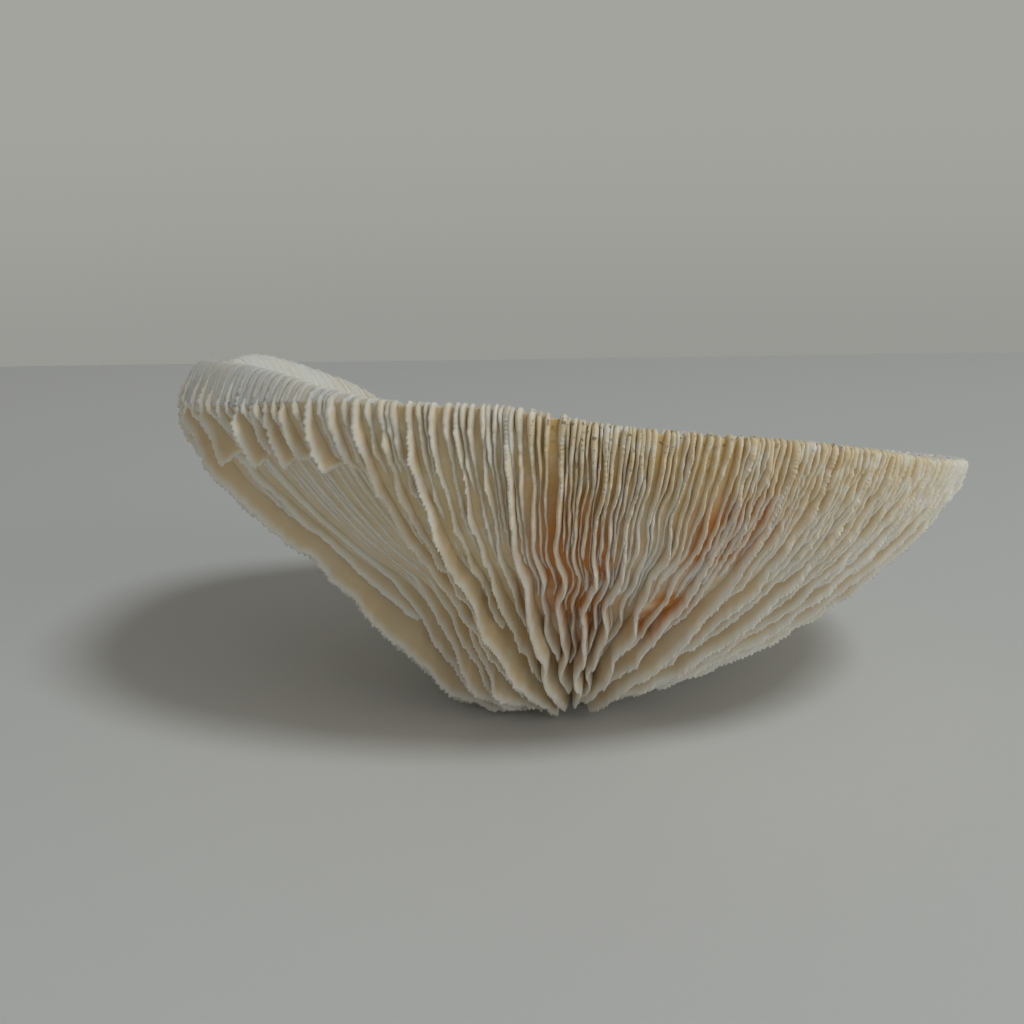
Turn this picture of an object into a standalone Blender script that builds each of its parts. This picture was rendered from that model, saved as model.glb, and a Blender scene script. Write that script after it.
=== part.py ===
"""Skeleton of a mushroom coral, a stony coral that lives alone and unattached on the sea bed.

It grew as one piece: a bowl-shaped wall with hundreds of upright blades, the septa, that run from the
mouth in the middle to the margin. In life the septa are on top. Here the skeleton is set down the other
way up, on its septa, leaning back so that the mouth faces forwards and down.

The coral is drawn in its own frame, with the margin near z = 0 and the mouth straight below the origin,
and is then leaned, worn flat where it touches the table and centred. Angles go round from +X, the right
end, by way of +Y, the far side.
"""

import math

import bmesh
import bpy
from mathutils import Matrix, Vector

MM = 0.001

# Outline of the margin, seen along the mouth's axis: a slightly egg-shaped ring round the mouth.
RIGHT_REACH = 71 * MM
FAR_REACH = 70 * MM
LEFT_REACH = 80 * MM
NEAR_REACH = 60 * MM

# Depths below the margin, on the mouth's axis.
CREST_DEPTH = 53 * MM
WALL_MIDDLE_DEPTH = 33 * MM

# Half of the wall's thickness, in the middle of the bowl and beside the margin.
WALL_HALF_MIDDLE = 5 * MM
WALL_HALF_MARGIN = 3 * MM

# Each wave round the ring is its angle and half width in degrees, and its height. The margin rises on
# the near side, most of all at the near left. On the left, the wall swells above it into a thick lip.
MARGIN_WAVES = ((238, 24, 2.6 * MM), (282, 38, 1.6 * MM))
LIP_WAVES = ((182, 45, 10.5 * MM), (147, 20, 7.5 * MM))

# How the bowl is curved from the mouth's axis to the margin. Each is the power of the share of the way
# out: the wall's own curve, where the margin's waves and the lip begin, and how close to the margin the
# lip drops and the wall's edge is rounded.
WALL_CURVE = 1.8
WAVES_BEGIN = 3
LIP_BEGINS = 6
LIP_ENDS = 40
EDGE_ROUNDS = 8

# The free edges of the tallest septa: the power of the share of the way out, how round their line is,
# and how much fuller it is on the far flank, on which the coral lies: angle, half width and amount.
CREST_CURVE = 1.4
CREST_ROUNDNESS = 0.68
FAR_FULLNESS = (95, 60, 0.2)

# The septa's free edges swell and sink on the left: angle and half width in degrees, share of the way
# out and half width there, and extra depth.
CREST_WAVES = ((180, 60, 0.27, 0.17, 6 * MM), (180, 60, 0.68, 0.13, -3 * MM))

# The mouth is a slit that runs from the near side to the far side: half of its width and its length.
SLIT_ACROSS = 3 * MM
SLIT_ALONG = 7 * MM

# Septa: how many there are once each cycle has grown in midway between the others, how far from the
# mouth's axis the new ones begin, how thick they are, and their height as a share of the tallest. The
# first cycle begins at the slit.
CYCLES = (
    {"septa": 12, "begins": 0, "thick": 1.8 * MM, "height": 1.0},
    {"septa": 24, "begins": 9 * MM, "thick": 1.5 * MM, "height": 0.97},
    {"septa": 48, "begins": 18 * MM, "thick": 1.4 * MM, "height": 0.9},
    {"septa": 96, "begins": 36 * MM, "thick": 1.4 * MM, "height": 0.8},
)
SEPTUM_RISE = 9 * MM
INNER_END_HEIGHT = 0.15
MARGIN_OVERHANG = 1.2 * MM

# How it rests: leaned back from the viewer and up to the left, with the lowest tips worn flat.
LEAN_BACK = math.radians(12)
LEAN_RIGHT = math.radians(5.5)
WEAR = 0.8 * MM

WALL_SEGMENTS = 64
WALL_RINGS = 18
CREST_SPACING = 7 * MM
ROOT_ENDS = 0.95
ROOT_STEPS = 4


def bump(angle, centre, width, power=2):
    """A bump round the ring, 1 at its centre, flatter on top with a higher power. The angle is in
    radians, its centre and half width in degrees."""
    away = (math.degrees(angle) - centre + 180) % 360 - 180
    return math.exp(-(abs(away / width) ** power))


def margin_reach(angle):
    """Distance of the margin from the mouth's axis."""
    across = (RIGHT_REACH + LEFT_REACH) / 2
    along = (FAR_REACH + NEAR_REACH) / 2
    oval = (across + along) / 2 + (across - along) / 2 * math.cos(2 * angle)
    shift_right = (RIGHT_REACH - LEFT_REACH) / 2 * math.cos(angle)
    shift_far = (FAR_REACH - NEAR_REACH) / 2 * math.sin(angle)
    return oval + shift_right + shift_far


def wave_height(angle, waves):
    """Height of flat-topped waves round the ring."""
    return sum(lift * bump(angle, centre, width, 4) for centre, width, lift in waves)


def margin_height(angle):
    """Height of the margin, where the septa end."""
    return wave_height(angle, MARGIN_WAVES)


def wall_middle(angle, share):
    """Height of the middle of the wall, at a share of the way from the mouth's axis to the margin. The
    lip is highest a little inside the margin and drops to nothing at it."""
    lip = wave_height(angle, LIP_WAVES) * share**LIP_BEGINS * (1 - share**LIP_ENDS)
    margin = margin_height(angle) * share**WAVES_BEGIN
    return margin + lip - WALL_MIDDLE_DEPTH * (1 - share**WALL_CURVE)


def wall_half(share):
    """Half of the wall's thickness, rounded off to nothing at the margin."""
    thick = WALL_HALF_MARGIN + (WALL_HALF_MIDDLE - WALL_HALF_MARGIN) * (1 - share)
    return thick * math.sqrt(max(0, 1 - share**EDGE_ROUNDS))


def crest_height(angle, share):
    """Height of the free edge of the tallest septa."""
    centre, width, fuller = FAR_FULLNESS
    roundness = CREST_ROUNDNESS - fuller * bump(angle, centre, width)
    depth = CREST_DEPTH * max(0, 1 - share**CREST_CURVE) ** roundness
    for centre, width, out, out_width, more in CREST_WAVES:
        depth += more * bump(angle, centre, width) * math.exp(-(((share - out) / out_width) ** 2))
    return margin_height(angle) * share**WAVES_BEGIN - depth


def clear_scene():
    for thing in list(bpy.data.objects):
        bpy.data.objects.remove(thing)


def new_object(name, mesh_builder):
    mesh = bpy.data.meshes.new(name)
    mesh_builder.to_mesh(mesh)
    mesh_builder.free()
    thing = bpy.data.objects.new(name, mesh)
    bpy.context.scene.collection.objects.link(thing)
    return thing


def make_wall():
    """The bowl: a sphere whose lower half becomes the wall's mouth side and whose upper half its back."""
    shape = bmesh.new()
    bmesh.ops.create_uvsphere(shape, u_segments=WALL_SEGMENTS, v_segments=WALL_RINGS, radius=1)
    for vert in shape.verts:
        angle = math.atan2(vert.co.y, vert.co.x)
        share = min(1, math.hypot(vert.co.x, vert.co.y))
        side = 1 if vert.co.z > 0 else -1
        reach = (margin_reach(angle) - MARGIN_OVERHANG) * share
        height = wall_middle(angle, share) + side * wall_half(share)
        vert.co = (reach * math.cos(angle), reach * math.sin(angle), height)
    return new_object("mushroom_coral", shape)


def slit_reach(angle):
    """Distance of the slit's edge from the mouth's axis."""
    return 1 / math.hypot(math.cos(angle) / SLIT_ACROSS, math.sin(angle) / SLIT_ALONG)


def free_edge(angle, cycle, begins):
    """Points of the blade's free side, from the mouth out to the margin."""
    reach = margin_reach(angle)
    steps = max(4, round((reach - begins) / CREST_SPACING))
    points = []
    for step in range(steps + 1):
        share = (begins + (reach - begins) * math.sin(math.pi / 2 * step / steps)) / reach
        root = wall_middle(angle, share) - wall_half(share)
        rise = min(1, (share * reach - begins) / SEPTUM_RISE)
        if cycle is CYCLES[0]:
            rise = 1
        grown = INNER_END_HEIGHT + (1 - INNER_END_HEIGHT) * rise * (2 - rise)
        height = root + (crest_height(angle, share) - root) * grown * cycle["height"]
        points.append((share * reach, height))
    return points


def root_edge(angle, begins):
    """Points of the blade's side inside the wall, from near the margin back towards the mouth."""
    reach = margin_reach(angle)
    first = ROOT_ENDS
    last = begins / reach
    points = []
    for step in range(ROOT_STEPS + 1):
        share = first + (last - first) * step / ROOT_STEPS
        points.append((share * (reach - MARGIN_OVERHANG), wall_middle(angle, share)))
    return points


def add_septum(shape, angle, cycle):
    """One flat blade, extruded sideways from its outline and turned to its place round the mouth."""
    begins = max(cycle["begins"], slit_reach(angle))
    outline = free_edge(angle, cycle, begins) + root_edge(angle, begins)
    corners = [shape.verts.new((out, -cycle["thick"] / 2, up)) for out, up in outline]
    blade = bmesh.ops.extrude_face_region(shape, geom=[shape.faces.new(corners)])
    grown = [item for item in blade["geom"] if isinstance(item, bmesh.types.BMVert)]
    bmesh.ops.translate(shape, verts=grown, vec=(0, cycle["thick"], 0))
    bmesh.ops.rotate(shape, verts=corners + grown, matrix=Matrix.Rotation(angle, 3, "Z"))


def make_septa():
    """All the blades as one helper, which is joined to the wall."""
    shape = bmesh.new()
    slots = CYCLES[-1]["septa"]
    for slot in range(slots):
        cycle = next(c for c in CYCLES if slot % (slots // c["septa"]) == 0)
        add_septum(shape, 2 * math.pi * slot / slots, cycle)
    bmesh.ops.recalc_face_normals(shape, faces=shape.faces)
    return new_object("septa_helper", shape)


def combine(body, helper, operation):
    """Joins the helper to the body, or cuts it away, and removes the helper."""
    modifier = body.modifiers.new(operation.lower(), "BOOLEAN")
    modifier.operation = operation
    modifier.object = helper
    modifier.use_self = True
    graph = bpy.context.evaluated_depsgraph_get()
    made = bpy.data.meshes.new_from_object(body.evaluated_get(graph))
    body.modifiers.remove(modifier)
    body.data = made
    bpy.data.objects.remove(helper)


def corner_range(body):
    """Lowest and highest corner of the body's mesh."""
    places = [vert.co for vert in body.data.vertices]
    low = Vector([min(place[axis] for place in places) for axis in range(3)])
    high = Vector([max(place[axis] for place in places) for axis in range(3)])
    return low, high


def set_down(body):
    """Leans the coral, wears its lowest tips flat on the table, and centres it over the origin."""
    lean = Matrix.Rotation(LEAN_RIGHT, 4, "Y") @ Matrix.Rotation(-LEAN_BACK, 4, "X")
    body.data.transform(lean)
    low, high = corner_range(body)
    middle = (low + high) / 2
    body.data.transform(Matrix.Translation((-middle.x, -middle.y, -low.z - WEAR)))
    shape = bmesh.new()
    bmesh.ops.create_cube(shape, size=2 * LEFT_REACH)
    bmesh.ops.translate(shape, verts=shape.verts, vec=(0, 0, -LEFT_REACH))
    combine(body, new_object("table_helper", shape), "DIFFERENCE")


def bare_skeleton():
    """Off-white, chalky skeleton."""
    material = bpy.data.materials.new("coral_skeleton")
    material.use_nodes = True
    shader = material.node_tree.nodes["Principled BSDF"]
    shader.inputs["Base Color"].default_value = (0.74, 0.68, 0.56, 1)
    shader.inputs["Roughness"].default_value = 0.85
    shader.inputs["Metallic"].default_value = 0
    return material


clear_scene()
coral = make_wall()
combine(coral, make_septa(), "UNION")
set_down(coral)
coral.data.materials.clear()
coral.data.materials.append(bare_skeleton())
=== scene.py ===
"""Mushroom coral skeleton, set down on its septa with its hollow back turned up.

The skeleton is drawn in the coral's own frame, with the margin near z = 0 and the mouth straight below
the origin, and is then leaned and set down where the part lies. Angles go round from +X, the right end,
by way of +Y, the far side.
"""

import math
import bpy
import numpy as np
from mathutils import Matrix, Vector


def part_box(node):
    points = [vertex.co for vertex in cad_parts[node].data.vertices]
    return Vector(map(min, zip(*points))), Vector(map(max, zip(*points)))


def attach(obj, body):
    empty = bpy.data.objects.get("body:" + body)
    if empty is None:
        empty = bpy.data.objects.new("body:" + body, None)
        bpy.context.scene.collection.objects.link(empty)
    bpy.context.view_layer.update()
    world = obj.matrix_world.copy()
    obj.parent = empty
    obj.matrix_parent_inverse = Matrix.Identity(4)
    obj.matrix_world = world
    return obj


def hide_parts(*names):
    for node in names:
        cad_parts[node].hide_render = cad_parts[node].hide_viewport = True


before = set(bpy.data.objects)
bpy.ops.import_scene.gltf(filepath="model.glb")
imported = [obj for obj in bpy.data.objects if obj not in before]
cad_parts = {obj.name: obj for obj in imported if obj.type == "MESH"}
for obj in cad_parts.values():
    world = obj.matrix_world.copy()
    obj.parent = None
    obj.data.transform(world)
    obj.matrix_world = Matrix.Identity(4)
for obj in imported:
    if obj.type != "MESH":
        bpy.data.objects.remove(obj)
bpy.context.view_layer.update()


# ---- The wall ---------------------------------------------------------------------------------------
# The bowl that carries everything else: a wall of dense limestone a few millimetres thick, thin and
# wavy at the margin and swollen into a thick round lip on the left. It is a sphere pushed into a bowl.

MM = 0.001
DICE = np.random.default_rng(20)

RIGHT_REACH = 71 * MM
FAR_REACH = 70 * MM
LEFT_REACH = 80 * MM
NEAR_REACH = 60 * MM
MARGIN_OVERHANG = 1.1 * MM
WALL_DEPTH = 33 * MM
WALL_HALF_MIDDLE = 5 * MM
WALL_HALF_MARGIN = 3 * MM

# Each wave round the ring is its angle and half width in degrees, and its height.
MARGIN_WAVES = ((238, 24, 2.6 * MM), (282, 38, 1.6 * MM))
LIP_WAVES = ((182, 45, 12 * MM), (147, 20, 8.5 * MM), (200, 18, 3.2 * MM))

# Where the lip is smooth: its angle and half width.
LIP_ZONE = (186, 48)

# How the bowl is curved from the mouth's axis to the margin. Each is the power of the share of the way
# out: the wall's own curve, where the margin's waves and the lip begin, and how close to the margin the
# lip drops and the wall's edge is rounded.
WALL_CURVE = 1.8
WAVES_BEGIN = 3
LIP_BEGINS = 5
LIP_ENDS = 30
EDGE_ROUNDS = 8

# The mouth's axis crosses the margin's level at this distance from the box's lowest corner. The coral
# leans back from the viewer, and up to the left.
LOWEST_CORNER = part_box("mushroom_coral")[0]
AXIS_AT = LOWEST_CORNER + Vector((79.87, 58.57, 51.91)) * MM
LEAN_BACK = math.radians(12)
LEAN_RIGHT = math.radians(5.5)

# The free edges of the tallest septa: how deep they are below the margin on the mouth's axis, the power
# of the share of the way out, how round their line is, and how much fuller it is on the far flank.
CREST_DEPTH = 53 * MM
CREST_CURVE = 1.4
CREST_ROUNDNESS = 0.68
FAR_FULLNESS = (95, 60, 0.2)

# The free edges swell and sink on the left: angle and half width in degrees, share of the way out and
# half width there, and extra depth.
CREST_WAVES = ((180, 60, 0.27, 0.17, 6 * MM), (180, 60, 0.68, 0.13, -3 * MM))

# Between two tall septa on the left the others are low, except for tongues beside the margin: angle,
# half width and how low. They sink and rise again at these shares of the way out.
LOW_ZONE = (213.5, 16.5, 0.93)
LOW_OUT = (0.3, 0.5, 0.86, 0.93)
LOW_STEPS = (0, 1, 1, 0)

# At these shares of the way out, the grooves between the septa are filled to these shares of the
# tallest septum's height. On the near side they are fuller, by angle, half width and amount. Where the
# septa are low, the fill sinks almost as far.
FILL_OUT = (0, 0.15, 0.55, 0.85, 0.985, 1)
FILL = (0, 0.4, 0.4, 0.66, 0.6, 0.3)
NEAR_FILL = (275, 38, 0.33)
FILL_SINKS = 0.92

# Low swellings on the wall: their height, and how far out their pattern repeats and turns.
SWELL = 0.35 * MM
SWELL_PITCH = 2.3 * MM
SWELL_TWIST = 5 * MM

# For its colour, the wall's back counts as this deep in a groove, so it gets this much of the painted groove
# shade, and the lip less, which paints it lighter.
BACK_PAINTED_SHADE = 0.25
LIP_LESS_PAINTED_SHADE = 0.2

WALL_SEGMENTS = 360
WALL_RINGS = 120


def bump(angle, centre, width, power=2):
    """A bump round the ring, 1 at its centre, flatter on top with a higher power. The angle is in
    radians, its centre and half width in degrees."""
    away = (np.degrees(angle) - centre + 180) % 360 - 180
    return np.exp(-(np.abs(away / width) ** power))


def near(distance, width):
    """1 at no distance, fading to nothing beyond the width."""
    return np.exp(-((distance / width) ** 2))


def margin_reach(angle):
    """Distance of the margin from the mouth's axis."""
    across = (RIGHT_REACH + LEFT_REACH) / 2
    along = (FAR_REACH + NEAR_REACH) / 2
    oval = (across + along) / 2 + (across - along) / 2 * np.cos(2 * angle)
    shift_right = (RIGHT_REACH - LEFT_REACH) / 2 * np.cos(angle)
    shift_far = (FAR_REACH - NEAR_REACH) / 2 * np.sin(angle)
    return oval + shift_right + shift_far


def wave_height(angle, waves):
    """Height of flat-topped waves round the ring."""
    return sum(lift * bump(angle, centre, width, 4) for centre, width, lift in waves)


def margin_height(angle):
    """Height of the margin, where the septa end."""
    return wave_height(angle, MARGIN_WAVES)


def wall_middle(angle, share):
    """Height of the middle of the wall, at a share of the way from the mouth's axis to the margin."""
    lip = wave_height(angle, LIP_WAVES) * share**LIP_BEGINS * (1 - share**LIP_ENDS)
    return margin_height(angle) * share**WAVES_BEGIN + lip - WALL_DEPTH * (1 - share**WALL_CURVE)


def wall_half(share):
    """Half of the wall's thickness, rounded off to nothing at the margin."""
    thick = WALL_HALF_MARGIN + (WALL_HALF_MIDDLE - WALL_HALF_MARGIN) * (1 - share)
    return thick * np.sqrt(np.clip(1 - share**EDGE_ROUNDS, 0, 1))


def crest_height(angle, share):
    """Height of the free edge of the tallest septa."""
    centre, width, fuller = FAR_FULLNESS
    roundness = CREST_ROUNDNESS - fuller * bump(angle, centre, width)
    depth = CREST_DEPTH * np.clip(1 - share**CREST_CURVE, 0, 1) ** roundness
    for centre, width, out, out_width, more in CREST_WAVES:
        depth = depth + more * bump(angle, centre, width) * near(share - out, out_width)
    return margin_height(angle) * share**WAVES_BEGIN - depth


def how_low(angle, share):
    """By what share the septa of the low zone are shorter than elsewhere."""
    centre, width, low = LOW_ZONE
    return low * bump(angle, centre, width, 8) * np.interp(share, LOW_OUT, LOW_STEPS)


def groove_floor(angle, share):
    """Height of the wall's mouth side, filled up between the septa."""
    root = wall_middle(angle, share) - wall_half(share)
    centre, width, more = NEAR_FILL
    fill = np.interp(share, FILL_OUT, FILL) * (1 + more * bump(angle, centre, width, 4))
    return root - (root - crest_height(angle, share)) * fill * (1 - FILL_SINKS * how_low(angle, share))


def set_down(places):
    """Leans points of the coral's own frame and moves them to where the part lies. What would reach
    below the table is worn flat."""
    lean = Matrix.Rotation(LEAN_RIGHT, 3, "Y") @ Matrix.Rotation(-LEAN_BACK, 3, "X")
    down = places @ np.array(lean).T + np.array(AXIS_AT)
    down[:, 2] = np.maximum(down[:, 2], LOWEST_CORNER.z)
    return down


def deselect():
    for thing in bpy.context.selected_objects:
        thing.select_set(False)


def ball(name, segments, rings):
    """A sphere of radius 1, to be pushed into shape."""
    deselect()
    bpy.ops.mesh.primitive_uv_sphere_add(segments=segments, ring_count=rings, radius=1)
    thing = bpy.context.object
    thing.name = name
    thing.data.uv_layers.active.name = "OFBake"
    return thing


def corner_places(thing):
    """The corners of a mesh, as rows of x, y and z."""
    places = np.empty(3 * len(thing.data.vertices))
    thing.data.vertices.foreach_get("co", places)
    return places.reshape(-1, 3)


def reshape(thing, places):
    """Moves the corners of a mesh."""
    thing.data.vertices.foreach_set("co", places.ravel())
    thing.data.update()


def note(thing, name, values):
    """Writes one number per corner on the mesh, for the material to read."""
    noted = thing.data.attributes.new(name, "FLOAT", "POINT")
    noted.data.foreach_set("value", np.asarray(values, dtype=np.float32))


# Ochre lies in a band below the margin on the right, in one patch, and thinly elsewhere. The band is its
# strength and its depth, and it fades in and out at these angles, over these widths.
OCHRE_BAND = (0.95, 13)
BAND_BEGINS = (264, 4)
BAND_ENDS = (332, 6)
OCHRE_THIN = 0.1
OCHRE_LEFT = (240, 26, 0.35)

# A patch is its strength, angle and half width, and its depth below the margin and half height.
OCHRE_PATCH = (1.2, 262.5, 6, 6, 9)
RUST_PATCHES = ((1.6, 264, 9, 25, 13), (1.4, 291, 6, 17, 7), (1.2, 288, 6, 31, 6), (0.7, 297, 5, 12, 5))


def patch(angle, height, strength, centre, width, deep, tall):
    """Strength of one stain: it fades with the angle and with the depth below the margin."""
    return strength * bump(angle, centre, width) * near(height - deep, tall)


def stain_zones(angle, height):
    """Strength of the ochre and the rust stains at an angle. Height is 0 at the margin and grows
    towards the tips of the septa, in millimetres."""
    degrees = np.degrees(angle) % 360
    strength, deep = OCHRE_BAND
    (begins, slope_in), (ends, slope_out) = BAND_BEGINS, BAND_ENDS
    rim = near(height, deep)
    right = 1 / (1 + np.exp(-(degrees - begins) / slope_in)) / (1 + np.exp((degrees - ends) / slope_out))
    centre, width, left = OCHRE_LEFT
    ochre = strength * rim * right + patch(angle, height, *OCHRE_PATCH)
    ochre += OCHRE_THIN + left * bump(angle, centre, width)
    rust = sum(patch(angle, height, *row) for row in RUST_PATCHES)
    return np.clip(ochre, 0, 1), np.clip(rust, 0, 1)


class Wire:
    """One output of a shader node, written into sums and products like a number."""

    def __init__(self, tree, socket=None):
        self.tree = tree
        self.socket = socket

    def node(self, kind, settings=None, sockets=None, output=0):
        """Adds a node. Its settings are set first, and then its sockets get their values or links."""
        made = self.tree.nodes.new(kind)
        for name, value in (settings or {}).items():
            setattr(made, name, value)
        for place, value in (sockets or {}).items():
            if isinstance(value, Wire):
                self.tree.links.new(value.socket, made.inputs[place])
            else:
                made.inputs[place].default_value = value
        return Wire(self.tree, made.outputs[output])

    def math(self, operation, first, second):
        return self.node("ShaderNodeMath", {"operation": operation}, {0: first, 1: second})

    def __add__(self, other):
        return self.math("ADD", self, other)

    def __sub__(self, other):
        return self.math("SUBTRACT", self, other)

    def __rsub__(self, other):
        return self.math("SUBTRACT", other, self)

    def __mul__(self, other):
        return self.math("MULTIPLY", self, other)

    __radd__ = __add__
    __rmul__ = __mul__

    def step(self, start, end):
        """0 below start, 1 above end, and smooth between them."""
        settings = {"interpolation_type": "SMOOTHSTEP"}
        return self.node("ShaderNodeMapRange", settings, {0: self, 1: start, 2: end})

    def mix(self, share, first, second):
        """A colour that goes from the first to the second."""
        sockets = {"Factor": share, "A": first, "B": second}
        return self.node("ShaderNodeMix", {"data_type": "RGBA"}, sockets, "Result")

    def grain(self, place, size, detail=2.0):
        """Soft noise with lumps of about that size."""
        sockets = {"Vector": place, "Scale": 1 / size, "Detail": detail, "Roughness": 0.55}
        return self.node("ShaderNodeTexNoise", {}, sockets)


# Dark specks lie along the margin, most of them on the right: angle, half width, and the least amount.
# On the wall they keep within this share of the way out from the margin.
SPECK_ZONE = (298, 42, 0.1)
SPECK_BAND = 0.02


def how_speckled(angle):
    """Amount of specks at an angle."""
    centre, width, least = SPECK_ZONE
    return least + (1 - least) * bump(angle, centre, width, 4)


BONE = (0.88, 0.87, 0.83, 1)
# CREAM is the painted warm shade of the grooves, and also a broad random tone of the stone.
CREAM = (0.77, 0.64, 0.43, 1)
OCHRE = (0.70, 0.51, 0.22, 1)
RUST = (0.60, 0.24, 0.06, 1)
SOOT = (0.10, 0.075, 0.05, 1)


def limestone(name, roughness):
    """Chalky off-white limestone with painted shade: creamier deeper between the septa and the ribs, where
    shade falls, and in broad random patches. It has ochre and rust stains that have seeped into the grooves
    and a few dark specks along the margin."""
    material = bpy.data.materials.new(name)
    material.use_nodes = True
    tree = material.node_tree
    shader = tree.nodes["Principled BSDF"]
    start = Wire(tree)
    place = start.node("ShaderNodeTexCoord", {}, {}, "Object")
    depth, ochre, rust, rim = (
        start.node("ShaderNodeAttribute", {"attribute_name": word}, {}, "Fac")
        for word in ("depth", "ochre", "rust", "rim")
    )
    broad = start.grain(place, 9 * MM)
    patches = start.grain(place, 2.5 * MM, 3.0)
    specks = start.grain(place, 0.9 * MM, 1.0)
    powder = start.grain(place, 0.35 * MM, 2.0)

    # Painted shade: the deeper a point lies in a groove, the creamier it is painted, standing in for the warm
    # shade between the septa. A fifth of the cream comes from broad random tone. The stains also gather in
    # the grooves.
    groove = depth.step(0.04, 0.5)
    colour = start.mix(groove * 0.8 + broad.step(0.35, 0.7) * 0.2, BONE, CREAM)
    colour = start.mix(ochre * (groove * 0.35 + 0.6) * patches.step(0.2, 0.6), colour, OCHRE)
    colour = start.mix(rust * (groove * 0.9 + 0.15) * broad.step(0.2, 0.55), colour, RUST)
    colour = start.mix(rim * specks.step(0.62, 0.7) * 0.7, colour, SOOT)
    tree.links.new(colour.socket, shader.inputs["Base Color"])

    relief = powder + patches * 0.8
    dust = start.node(
        "ShaderNodeBump", {}, {"Strength": 0.45, "Distance": 0.12 * MM, "Height": relief}, "Normal"
    )
    tree.links.new(dust.socket, shader.inputs["Normal"])
    tree.links.new((powder * 0.15 + (roughness - 0.08)).socket, shader.inputs["Roughness"])
    shader.inputs["Specular IOR Level"].default_value = 0.3
    shader.inputs["Subsurface Weight"].default_value = 0.45
    shader.inputs["Subsurface Radius"].default_value = (1.0, 0.7, 0.4)
    shader.inputs["Subsurface Scale"].default_value = 1.6 * MM
    return material


def keep_piece(thing, material):
    """Gives a finished piece its stone, and makes it ride with the part."""
    thing.data.materials.clear()
    thing.data.materials.append(material)
    thing.data.shade_smooth()
    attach(thing, "root")


wall = ball("coral_wall", WALL_SEGMENTS, WALL_RINGS)
sphere = corner_places(wall)
angle = np.arctan2(sphere[:, 1], sphere[:, 0])
share = np.minimum(1, np.hypot(sphere[:, 0], sphere[:, 1]))
side = np.where(sphere[:, 2] > 0, 1, -1)
reach = (margin_reach(angle) - MARGIN_OVERHANG) * share
swell = SWELL * np.sin(reach / SWELL_PITCH + 3 * np.cos(3 * angle)) * np.sin(7 * angle + reach / SWELL_TWIST)
height = np.where(side > 0, wall_middle(angle, share) + wall_half(share), groove_floor(angle, share))
height = height + swell * share * (1 - share**EDGE_ROUNDS)
reshape(wall, set_down(np.stack([reach * np.cos(angle), reach * np.sin(angle), height], 1)))
ochre, rust = stain_zones(angle, (margin_height(angle) - height) / MM)
# Painted shade: the groove floors on the mouth side count as fully deep and are painted creamiest, the back a
# little, and the lip least.
note(wall, "depth", np.where(side > 0, BACK_PAINTED_SHADE - LIP_LESS_PAINTED_SHADE * bump(angle, *LIP_ZONE, 4), 1.0))
note(wall, "ochre", ochre)
note(wall, "rust", rust * (side < 0))
note(wall, "rim", near(1 - share, SPECK_BAND) * how_speckled(angle))
keep_piece(wall, limestone("wall_stone", 0.85))
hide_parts("mushroom_coral")


# ---- The septa --------------------------------------------------------------------------------------
# Thin upright blades of limestone that grew out of the wall in cycles, each new cycle midway between
# the older septa. Their free edges are toothed, and they sway from side to side. Each blade starts as
# a long sphere: its poles become the blade's two ends, its seam the root and its front the free edge.

# The mouth is a slit that runs from the near side to the far side: half of its width and its length.
SLIT_ACROSS = 3 * MM
SLIT_ALONG = 7 * MM

# Cycles: how many septa there are once each has grown in, where the new ones begin, their height as a
# share of the tallest, their thickness as a share of the first ones', how soon they rise, how far
# their inner end hangs over, the size of a tooth, and how many teeth each has. Only some of the last
# cycle's have grown, except in the crowded zone.
CYCLES = (
    {"name": "septa_first", "septa": 12, "grown": 1, "begins": 0, "height": 1.0, "thick": 1.0,
     "rise": 1.5 * MM, "hang": 0, "tooth": 0.56 * MM, "teeth": 118},
    {"name": "septa_second", "septa": 24, "grown": 1, "begins": 8 * MM, "height": 0.97, "thick": 0.95,
     "rise": 3 * MM, "hang": 2.5 * MM, "tooth": 0.54 * MM, "teeth": 104},
    {"name": "septa_third", "septa": 48, "grown": 1, "begins": 17 * MM, "height": 0.9, "thick": 0.9,
     "rise": 3 * MM, "hang": 2.5 * MM, "tooth": 0.44 * MM, "teeth": 88},
    {"name": "septa_fourth", "septa": 96, "grown": 1, "begins": 32 * MM, "height": 0.76, "thick": 0.85,
     "rise": 4 * MM, "hang": 2 * MM, "tooth": 0.32 * MM, "teeth": 62},
    {"name": "septa_fifth", "septa": 192, "grown": 1, "begins": 48 * MM, "height": 0.58, "thick": 0.75,
     "rise": 4 * MM, "hang": 1 * MM, "tooth": 0.25 * MM, "teeth": 34},
    {"name": "septa_sixth", "septa": 384, "grown": 0.2, "begins": 54 * MM, "height": 0.45, "thick": 0.6,
     "rise": 3 * MM, "hang": 0.5 * MM, "tooth": 0.2 * MM, "teeth": 15},
)

# How far the septa differ from their cycle: where they begin, their height and their thickness. The
# first cycle stands evenly round the mouth, turned by this much and moved by shares of the gap. Each
# later septum splits a gap between two older ones somewhere near its middle.
BEGINS_VARIES = (0.88, 1.12)
HEIGHT_VARIES = (0.94, 1.05)
THICK_VARIES = (0.75, 1.3)
FIRST_TURN = math.radians(-2)
FIRST_MOVED = (-0.06, 0.06)
GAP_SPLIT = (0.41, 0.59)

# The inner end swells into a slight lobe: by this share of the height, and over this distance. Its
# overhang fades out over the next distance. The root stops short of the margin, at this share of the
# way out, and on the lip the free edge stops short of it by this share of the margin's overhang.
LOBE = 0.05
LOBE_REACH = 4 * MM
HANG_REACH = 5 * MM
ROOT_ENDS = 0.97
LIP_STOPS = 0.8

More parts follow.
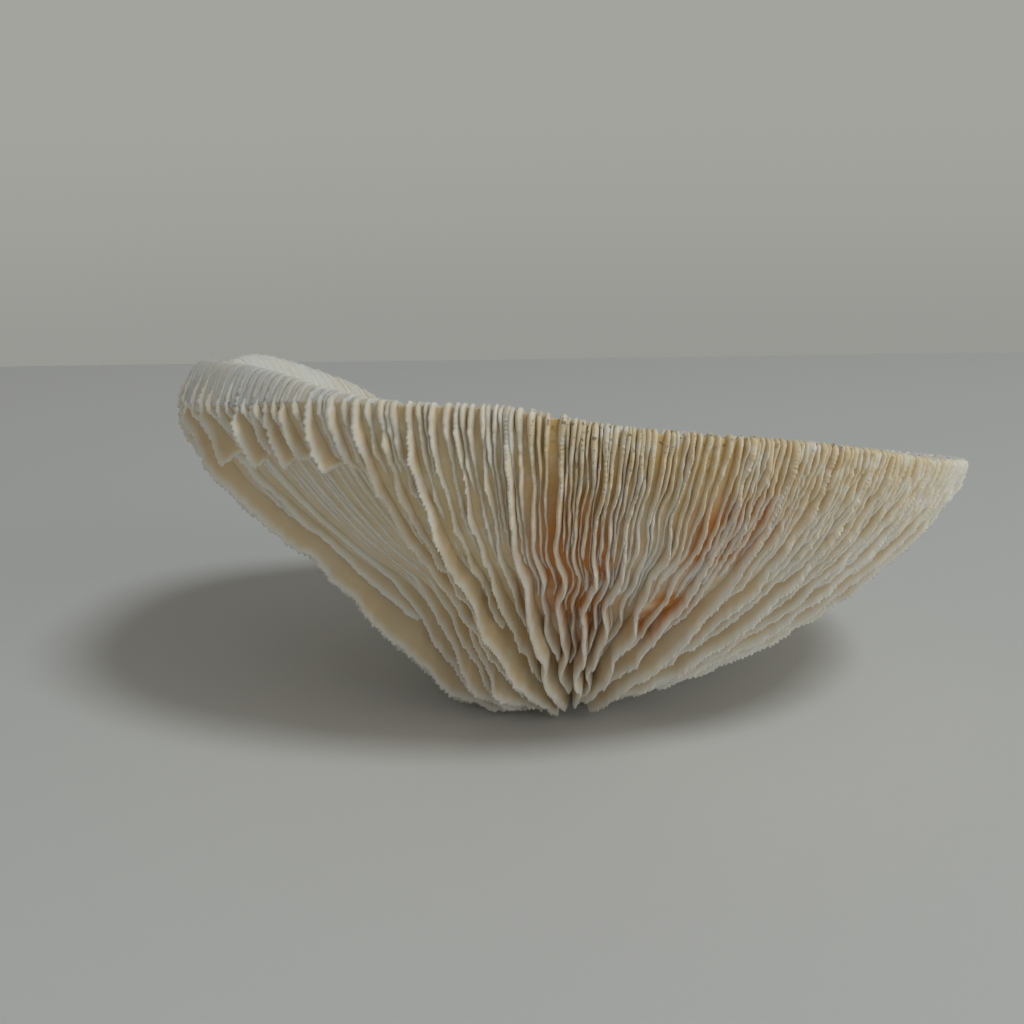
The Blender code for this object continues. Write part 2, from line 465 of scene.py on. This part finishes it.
# A septum's section, from its free edge to its root: depth below the edge in millimetres and as a
# share of its height, whichever is less, and half of its thickness in millimetres, here and at its
# blunt outer end.
SECTION = (
    (0, 0, 0.03, 0), (0.15, 0.06, 0.18, 0.38), (0.45, 0.15, 0.32, 0.56), (1.1, 0.28, 0.44, 0.66),
    (2.4, 0.42, 0.53, 0.7), (5, 0.58, 0.6, 0.72), (9, 0.74, 0.65, 0.72), (14, 0.88, 0.7, 0.72), (99, 1, 0, 0),
)

# Towards the rim the blades turn blunt over this distance, and on the lip they are thicker by this share.
BLUNT_REACH = 8 * MM
LIP_THICKER = 0.5

# The outer ends carry on over the rim and end this far down the wall's back. Over the shares of the way
# out, this is how high they stand off it in millimetres, and how high on the smooth lip.
OVER_RIM = 5 * MM
OVER_OUT = (0.93, 0.955, 0.98, 0.992, 1)
OVER_STAND = (-0.5, 0, 0.2, 0.4, 1.1)
LIP_OUT = (0.93, 0.96, 0.99, 1)
LIP_STAND = (-0.4, 0.15, 0.3, 0.35)

# On the near right the septa are crowded: angle and half width, the share of the last cycle that has
# grown there, the height that the later ones almost reach, and over which shares of the way out.
CROWDED_ZONE = (288, 45)
CROWDED_GROWN = 0.92
CROWDED_HEIGHT = 0.97
CROWDED_OUT = (0.6, 0.85)
CROWDED_STEPS = (0, 0.8)

# At the near end of the mouth, the later septa begin further in: angle, half width and by what share.
EARLY_ZONE = (272, 24)
EARLY = 0.36

# On the right the edges are smoother by this share, and those of the low septa by the next.
SMOOTH_ZONE = (335, 35)
SMOOTHER = 0.3
LOW_SMOOTHER = 0.85

# Each tooth takes three rings of corners: where they go along it, and how far each stands out. The
# teeth differ in width and height.
TOOTH_STEPS = (0, 0.36, 0.66)
TOOTH_SHAPE = (0, 0.95, 0.7)
TOOTH_WIDTHS = (0.6, 1.4)
TOOTH_HEIGHTS = (0.45, 1.35)

# Specks also lie beside the ochre patch: strength, angle, half width, depth and half height.
SPECK_PATCH = (1, 266, 12, 4, 9)

# Waves along the free edge and from side to side, each as its size and its length, which varies.
EDGE_WAVES = ((0.16 * MM, 4 * MM), (0.4 * MM, 15 * MM))
LEAN_WAVES = ((0.06 * MM, 6 * MM), (0.25 * MM, 24 * MM))
WAVE_VARIES = (0.7, 1.4)

# Neighbours also sway together: at these distances from the margin, by these sizes, and most of all at
# the near end of the mouth.
SWAY_FROM = (0, 12 * MM, 30 * MM, 60 * MM)
SWAY_GROWS = (0.08, 0.2, 0.65, 0.9)
SWAY_ZONE = (272, 20)

# At its root, a blade leans by only this share.
ROOT_LEAN = 0.3

# A ball has this many corners round it, and a joined piece no more than this many triangles.
SECTION_CORNERS = 2 * (len(SECTION) - 1)
MOST_TRIANGLES = 190000


def slit_reach(angle):
    """Distance of the mouth's edge from its axis."""
    return 1 / math.hypot(math.cos(angle) / SLIT_ACROSS, math.sin(angle) / SLIT_ALONG)


def back_line(angle, shares):
    """Points on the wall's back, as distance out and height, and the directions straight off it."""
    out = (margin_reach(angle) - MARGIN_OVERHANG) * shares
    up = wall_middle(angle, shares) + wall_half(shares)
    line = np.stack([out, up], 1)
    along = np.gradient(line, axis=0)
    along *= np.sign(shares[-1] - shares[0]) / np.linalg.norm(along, axis=1)[:, None]
    return line, np.stack([-along[:, 1], along[:, 0]], 1)


def septum_outline(angle, begins, cycle, height):
    """Points of the free edge, from the inner end out to the margin and round it, and of the root."""
    soft = bump(angle, *LIP_ZONE, 4)
    reach = margin_reach(angle)
    stops = reach - LIP_STOPS * soft * MARGIN_OVERHANG
    out = begins + (stops - begins) * np.sin(np.pi / 2 * np.linspace(0, 1, 600))
    shares = out / reach
    root = wall_middle(angle, shares) - wall_half(shares)
    grown = 1 - (1 - np.clip((out - begins) / cycle["rise"], 0, 1)) ** 3
    lobe = 1 + LOBE * near(out - begins, LOBE_REACH)
    crowded = bump(angle, *CROWDED_ZONE, 4) * np.interp(shares, CROWDED_OUT, CROWDED_STEPS)
    height = height + max(0, CROWDED_HEIGHT - height) * crowded
    low = 1 - how_low(angle, shares)
    up = root - (root - crest_height(angle, shares)) * grown * lobe * height * low
    inwards = cycle["hang"] * grown * np.exp(-(out - begins) / HANG_REACH)
    edge = np.stack([out - inwards, up], 1)

    over = np.linspace(1, OVER_OUT[0], 60)
    line, off = back_line(angle, over)
    stand = np.interp(over, OVER_OUT, OVER_STAND) * MM
    smooth = np.interp(over, LIP_OUT, LIP_STAND) * MM
    stand = stand + (smooth - stand) * soft
    edge = np.vstack([edge[:-1], line + off * stand[:, None]])
    steps = np.linalg.norm(np.diff(edge, axis=0), axis=1)
    gains = np.maximum(np.diff(edge[:, 0]), 0) + 0.12 * steps
    gone = np.concatenate([[0], np.cumsum(gains)])
    root_shares = (begins + (ROOT_ENDS * reach - begins) * gone / gone[-1]) / reach
    root = np.stack([root_shares * (reach - MARGIN_OVERHANG), wall_middle(angle, root_shares)], 1)
    root[0] = edge[0]
    root[-1] = edge[-1]
    length = np.concatenate([[0], np.cumsum(steps)])
    return edge, root, length


def along_line(line, length, stations):
    """Points of a line at the stations along it."""
    return np.stack([np.interp(stations, length, line[:, axis]) for axis in range(2)], 1)


def toothed_stations(length, teeth, size):
    """Where the rings of corners go along an edge, and how far each stands out as part of a tooth."""
    widths = DICE.uniform(*TOOTH_WIDTHS, teeth)
    starts = np.concatenate([[0], np.cumsum(widths)[:-1]])
    places = (starts[:, None] + widths[:, None] * TOOTH_STEPS).ravel() / widths.sum() * length
    heights = (DICE.uniform(*TOOTH_HEIGHTS, teeth)[:, None] * np.array(TOOTH_SHAPE)).ravel() * size
    return np.append(places, length), np.append(heights, 0)


def ragged(length, stations, waves):
    """A rough wave along an edge: each wave is its size and its length."""
    rough = 0
    for size, pitch in waves:
        turn = 2 * np.pi * (stations / (pitch * DICE.uniform(*WAVE_VARIES)) + DICE.uniform(0, 1))
        rough = rough + size * np.sin(turn + 1.5 * np.sin(0.37 * turn))
    return rough


def sway(angle, from_margin):
    """How far the septa lean sideways, the same way for neighbours, at a distance from the margin. The
    ones at the near end of the mouth sway most."""
    wave = 0.4 * np.sin(from_margin / (1.9 * MM) + 5 * math.sin(3 * angle) + 1)
    wave = wave + 0.7 * np.sin(from_margin / (3.3 * MM) + 6 * math.cos(2 * angle + 1))
    grows = np.interp(from_margin, SWAY_FROM, SWAY_GROWS) * MM
    return wave * grows * (0.3 + 0.55 * bump(angle, *SWAY_ZONE, 4))


def around(thing, segments, rings):
    """For each corner of a ball: its ring, from pole to pole, and its place round the ring."""
    places = corner_places(thing)
    ring = np.rint(np.arccos(np.clip(-places[:, 2], -1, 1)) / np.pi * rings).astype(int)
    turn = np.rint(np.arctan2(places[:, 1], places[:, 0]) / (2 * np.pi) * segments).astype(int)
    turn[(ring == 0) | (ring == rings)] = 0
    return ring, turn


def fade(size, full, least=0):
    """Goes up to 1 as a size grows to the full one."""
    return np.clip(size / full, least, 1)


def stand_up(place, sideways, angle):
    """Turns points of a blade's own plane, and how far they lie to the side of it, to an angle round
    the mouth."""
    out = np.array([math.cos(angle), math.sin(angle), 0])
    aside = np.array([-math.sin(angle), math.cos(angle), 0])
    up = np.array([0, 0, 1])
    return place[:, :1] * out + sideways[:, None] * aside + place[:, 1:] * up


def shape_septum(blade, ring, turn, angle, cycle):
    """Pushes a ball into one septum at an angle round the mouth."""
    sooner = 1 - EARLY * bump(angle, *EARLY_ZONE, 4)
    begins = max(cycle["begins"] * sooner * DICE.uniform(*BEGINS_VARIES), slit_reach(angle))
    tallest = cycle["height"] * DICE.uniform(*HEIGHT_VARIES)
    edge_line, root_line, length = septum_outline(angle, begins, cycle, tallest)
    stations, teeth = toothed_stations(length[-1], cycle["teeth"], cycle["tooth"])
    edge = along_line(edge_line, length, stations)
    root = along_line(root_line, length, stations)
    from_margin = length[-1] - stations
    run = np.gradient(edge, axis=0)
    run /= np.linalg.norm(run, axis=1)[:, None]
    off = np.stack([run[:, 1], -run[:, 0]], 1)
    tall = np.linalg.norm(edge - root, axis=1)
    off *= np.where((off * (edge - root)).sum(1) < 0, -1, 1)[:, None]
    below_rim = from_margin - OVER_RIM
    calm = fade(tall, 3 * MM) * fade(below_rim, 6 * MM, 0.1)
    plain = 1 - LOW_SMOOTHER * how_low(angle, edge[:, 0] / margin_reach(angle))
    plain = np.clip(plain - SMOOTHER * bump(angle, *SMOOTH_ZONE, 4), 0.1, 1)
    rough = ragged(length[-1], stations, EDGE_WAVES)
    edge = edge + off * (rough * calm * plain)[:, None]
    teeth = teeth * fade(tall, 2.5 * MM) * fade(below_rim, 5 * MM, 0.3) * plain

    tall = np.linalg.norm(edge - root, axis=1)
    towards = (root - edge) / np.maximum(tall, 1e-9)[:, None]
    level = np.abs(turn)
    deep, share, sharp, blunt = np.array(SECTION)[level].T
    below = np.minimum(deep * MM, share * tall[ring])
    stand = teeth[ring] * np.interp(level, (0, 1, 2, 3), (1, 0.45, 0.1, 0))
    place = edge[ring] + towards[ring] * below[:, None] + off[ring] * stand[:, None]
    at_rim = near(np.maximum(below_rim, 0), BLUNT_REACH)
    swollen = at_rim * (1 + LIP_THICKER * bump(angle, *LIP_ZONE, 4))
    half = (sharp + (blunt - sharp) * swollen[ring]) * MM * cycle["thick"]
    narrow = np.maximum(fade(tall, 2 * MM, 0.25), 0.9 * near(below_rim, 4 * MM))
    half = half * DICE.uniform(*THICK_VARIES) * narrow[ring]
    lean = sway(angle, from_margin) + ragged(length[-1], stations, LEAN_WAVES)
    lean = lean * fade(tall, 6 * MM) * plain
    free = 1 - below / np.maximum(tall[ring], 1e-9)
    sideways = half * np.sign(turn) + lean[ring] * (ROOT_LEAN + (1 - ROOT_LEAN) * free)
    reshape(blade, set_down(stand_up(place, sideways, angle)))
    ochre, rust = stain_zones(angle, (margin_height(angle) - place[:, 1]) / MM)
    # Painted shade: creamier with depth below the free edge and towards the root, where shade falls between
    # the blades.
    note(blade, "depth", 0.5 * (1 - free) + 0.5 * np.minimum(1, below / (2.5 * MM)))
    note(blade, "ochre", ochre)
    note(blade, "rust", rust)
    specks = near(below_rim[ring], 2.5 * MM) * how_speckled(angle)
    specks += patch(angle, below_rim[ring] / MM, *SPECK_PATCH)
    note(blade, "rim", np.clip(specks, 0, 1) * (level < 3))


def bake_strip(blade, slot, slots):
    """Moves a blade's own UV map into its strip of the map that all of its group share."""
    layer = blade.data.uv_layers["OFBake"].data
    places = np.empty(2 * len(layer))
    layer.foreach_get("uv", places)
    places = places.reshape(-1, 2)
    gap = 0.04
    places[:, 0] = (slot + gap + (1 - 2 * gap) * places[:, 0]) / slots
    layer.foreach_set("uv", places.ravel())


def join(blades, name):
    """Joins the blades of a group into one piece."""
    deselect()
    for blade in blades:
        blade.select_set(True)
    bpy.context.view_layer.objects.active = blades[0]
    bpy.ops.object.join()
    whole = bpy.context.object
    whole.name = name
    return whole


def grow_group(name, angles, cycle, segments, rings, shape, material):
    """Copies one ball per angle, pushes each into its own blade, and joins them into one piece."""
    blank = ball("blank", segments, rings)
    ring, turn = around(blank, segments, rings)
    blades = []
    for slot, angle in enumerate(angles):
        blade = blank.copy()
        blade.data = blank.data.copy()
        bpy.context.collection.objects.link(blade)
        shape(blade, ring, turn, angle, cycle)
        bake_strip(blade, slot, len(angles))
        blades.append(blade)
    bpy.data.objects.remove(blank)
    whole = join(blades, name)
    keep_piece(whole, material)
    return whole


septa_stone = limestone("septa_stone", 0.8)
costa_places = []
grown_angles = []
for cycle in CYCLES:
    if not grown_angles:
        spacing = 2 * math.pi / cycle["septa"]
        slots = [slot + DICE.uniform(*FIRST_MOVED) for slot in range(cycle["septa"])]
        angles = [FIRST_TURN + spacing * slot for slot in slots]
    else:
        gaps = zip(grown_angles, grown_angles[1:] + [grown_angles[0] + 2 * math.pi])
        angles = [start + (end - start) * DICE.uniform(*GAP_SPLIT) for start, end in gaps]
        crowded = [max(0, CROWDED_GROWN - cycle["grown"]) * bump(angle, *CROWDED_ZONE, 4) for angle in angles]
        angles = [angle for angle, more in zip(angles, crowded) if DICE.random() < cycle["grown"] + more]
    grown_angles = sorted(grown_angles + angles)
    costa_places += [(angle, cycle["begins"]) for angle in angles]
    rings = len(TOOTH_STEPS) * cycle["teeth"]
    groups = math.ceil(len(angles) * rings * SECTION_CORNERS * 2 / MOST_TRIANGLES)
    for group in range(groups):
        name = cycle["name"] + (f"_{group + 1}" if groups > 1 else "")
        grow_group(name, angles[group::groups], cycle, SECTION_CORNERS, rings, shape_septum, septa_stone)


# ---- The costae -------------------------------------------------------------------------------------
# Low ribs with short blunt spines, where the septa carry on over the margin and the lip and down into
# the hollow back. The older septa's ribs reach furthest in, and all fade before the middle.

# How high a rib stands, how deep its root goes, how high its spines are, and how it wanders sideways.
COSTA_STAND = 0.55 * MM
COSTA_ROOT = 0.6 * MM
COSTA_SPINE = 0.22 * MM
COSTA_WAVES = ((0.15 * MM, 8 * MM), (0.3 * MM, 23 * MM))

# A costa's section, from its top to its root: the share of the way down, and half of its thickness in
# millimetres.
COSTA_LEVELS = (0, 0.22, 0.5, 0.8, 1)
COSTA_HALF = (0.05, 0.22, 0.34, 0.4, 0)

# Over the shares of its own length, a rib grows outwards to its full height. On the lip the ribs are
# lower, almost without spines, and wider by these shares.
COSTA_ALONG = (0, 0.3, 0.85, 1)
COSTA_GROWS = (0, 0.45, 1, 1)
LIP_LOWER = 0.75
LIP_BLUNTER = 0.95
LIP_WIDER = 2.2

# The septa that begin further out than this have short costae. Each kind's sizes are the share of the
# way out where they fade, and how many spines they have.
LONG_BEGIN = 40 * MM
COSTA_ENDS_VARY = (0.8, 1.25)
LONG_COSTAE = {"name": "costae_long", "ends": 0.24, "spines": 44}
SHORT_COSTAE = {"name": "costae_short", "ends": 0.66, "spines": 22}


def shape_costa(blade, ring, turn, angle, kind):
    """Pushes a ball into one rib on the wall's back."""
    ends = kind["ends"] * DICE.uniform(*COSTA_ENDS_VARY)
    shares = np.linspace(ends, 1, 400)
    line, off = back_line(angle, shares)
    length = np.concatenate([[0], np.cumsum(np.linalg.norm(np.diff(line, axis=0), axis=1))])
    stations, spines = toothed_stations(length[-1], kind["spines"], COSTA_SPINE)
    at = along_line(line, length, stations)
    off = along_line(off, length, stations)
    shares_at = np.interp(stations, length, shares)
    grown = np.interp(stations / length[-1], COSTA_ALONG, COSTA_GROWS)
    soft = bump(angle, *LIP_ZONE, 4) * np.interp(shares_at, (0.8, 0.9), (0, 1))
    stand = COSTA_STAND * grown * (1 - LIP_LOWER * soft)
    stand = stand + spines * np.clip(3 * grown, 0, 1) * (1 - LIP_BLUNTER * soft)
    root = -COSTA_ROOT * (1 - grown * 0.4)
    level = np.abs(turn)
    deep = np.array(COSTA_LEVELS)[level]
    place = at[ring] + off[ring] * (stand[ring] + (root - stand)[ring] * deep)[:, None]
    half = np.array(COSTA_HALF)[level] * MM * (0.5 + 0.5 * grown + LIP_WIDER * soft)[ring]
    wobble = ragged(length[-1], stations, COSTA_WAVES)
    sideways = -half * np.sign(turn) + (wobble * np.clip(1.2 - grown, 0, 1))[ring]
    reshape(blade, set_down(stand_up(place, sideways, angle)))
    ochre, _ = stain_zones(angle, np.zeros(len(deep)))
    # Painted shade: creamier towards each rib's root, where shade falls between the ribs, and less so on the
    # smooth lip.
    note(blade, "depth", (0.1 + 0.3 * deep) * (1 - 0.7 * soft[ring]))
    note(blade, "ochre", 0.5 * ochre * grown[ring])
    note(blade, "rust", np.zeros(len(deep)))
    note(blade, "rim", near((length[-1] - stations)[ring], 2 * MM) * (level < 2))


COSTA_CORNERS = 2 * (len(COSTA_LEVELS) - 1)
for kind in (LONG_COSTAE, SHORT_COSTAE):
    short = kind is SHORT_COSTAE
    angles = [angle for angle, begins in costa_places if (begins > LONG_BEGIN) == short]
    rings = len(TOOTH_STEPS) * kind["spines"]
    groups = math.ceil(len(angles) * rings * COSTA_CORNERS * 2 / MOST_TRIANGLES)
    for group in range(groups):
        name = kind["name"] + (f"_{group + 1}" if groups > 1 else "")
        grow_group(name, angles[group::groups], kind, COSTA_CORNERS, rings, shape_costa, septa_stone)


# ---- The table --------------------------------------------------------------------------------------
# A plain table top with matt pale paint, on which the coral rests. It is one flat sheet that ends a
# little way behind the coral.

TABLE_TONE = (0.76, 0.785, 0.80, 1)
TABLE_WIDTH = 3.0
TABLE_FRONT = -1.5
TABLE_BACK = 0.345

deselect()
bpy.ops.mesh.primitive_plane_add(size=1, location=(0, (TABLE_FRONT + TABLE_BACK) / 2, 0))
table = bpy.context.object
table.name = "table_top"
table.scale = (TABLE_WIDTH, TABLE_BACK - TABLE_FRONT, 1)
bpy.ops.object.transform_apply(location=True, rotation=True, scale=True)
paint = bpy.data.materials.new("table_paint")
paint.use_nodes = True
paint.node_tree.nodes["Principled BSDF"].inputs["Base Color"].default_value = TABLE_TONE
paint.node_tree.nodes["Principled BSDF"].inputs["Roughness"].default_value = 0.7
table.data.materials.append(paint)


# ---- Light ------------------------------------------------------------------------------------------
# A soft lamp at the upper right in front, a wide and weaker one low on the right, and a pale room that
# is darker overhead and in front than round its other walls.

ROOM_LOW = (0.315, 0.318, 0.295, 1)
ROOM_WALL = (0.365, 0.37, 0.34, 1)
ROOM_ABOVE = (0.15, 0.14, 0.125, 1)
ROOM_IN_FRONT = (0.235, 0.22, 0.195, 1)
LAMPS = (
    {"name": "lamp", "towards": (26.6, -29.5, 58), "away": 1.7, "size": 0.42, "power": 8.0,
     "colour": (0.96, 1.0, 0.985)},
    {"name": "low_lamp", "towards": (58, -54, 24), "away": 2.0, "size": 1.5, "power": 6.5,
     "colour": (1.0, 0.99, 0.96)},
)

for lamp in LAMPS:
    data = bpy.data.lights.new(lamp["name"], "AREA")
    data.shape = "DISK"
    data.size = lamp["size"]
    data.energy = lamp["power"]
    data.color = lamp["colour"]
    light = bpy.data.objects.new(lamp["name"], data)
    towards = Vector(lamp["towards"]).normalized()
    light.location = towards * lamp["away"]
    light.rotation_euler = towards.to_track_quat("Z", "Y").to_euler()
    bpy.context.collection.objects.link(light)

room = bpy.data.worlds.new("room")
room.use_nodes = True
bpy.context.scene.world = room
room_start = Wire(room.node_tree)
sky = room_start.node("ShaderNodeTexCoord", {}, {}, "Generated")
level = room_start.node("ShaderNodeSeparateXYZ", {}, {"Vector": sky}, "Z")
ahead = room_start.node("ShaderNodeSeparateXYZ", {}, {"Vector": sky}, "Y")
shade = room_start.mix(level.step(-0.2, -0.04), ROOM_LOW, ROOM_WALL)
shade = room_start.mix(ahead.step(-0.6, 0.2), ROOM_IN_FRONT, shade)
shade = room_start.mix(level.step(0.1, 0.8), shade, ROOM_ABOVE)
room.node_tree.links.new(shade.socket, room.node_tree.nodes["Background"].inputs["Color"])


# ---- Camera -----------------------------------------------------------------------------------------
# Held a little above the table in front, tilted slightly, and looking down at the coral's near side.

TARGET = Vector((-11.57, 0, 35.1)) * MM
CAMERA_DISTANCE = 330 * MM
CAMERA_RISE = math.radians(16)
CAMERA_ROLL = math.radians(-0.8)
LENS_ANGLE = math.radians(34.1)

camera_data = bpy.data.cameras.new("camera")
camera_data.angle = LENS_ANGLE
camera_data.clip_start = 0.01
camera = bpy.data.objects.new("camera", camera_data)
back = Vector((0, -math.cos(CAMERA_RISE), math.sin(CAMERA_RISE)))
camera.location = TARGET + back * CAMERA_DISTANCE
turned = back.to_track_quat("Z", "Y").to_matrix() @ Matrix.Rotation(CAMERA_ROLL, 3, "Z")
camera.rotation_euler = turned.to_euler()
bpy.context.collection.objects.link(camera)
bpy.context.scene.camera = camera
bpy.context.scene.view_settings.view_transform = "Standard"
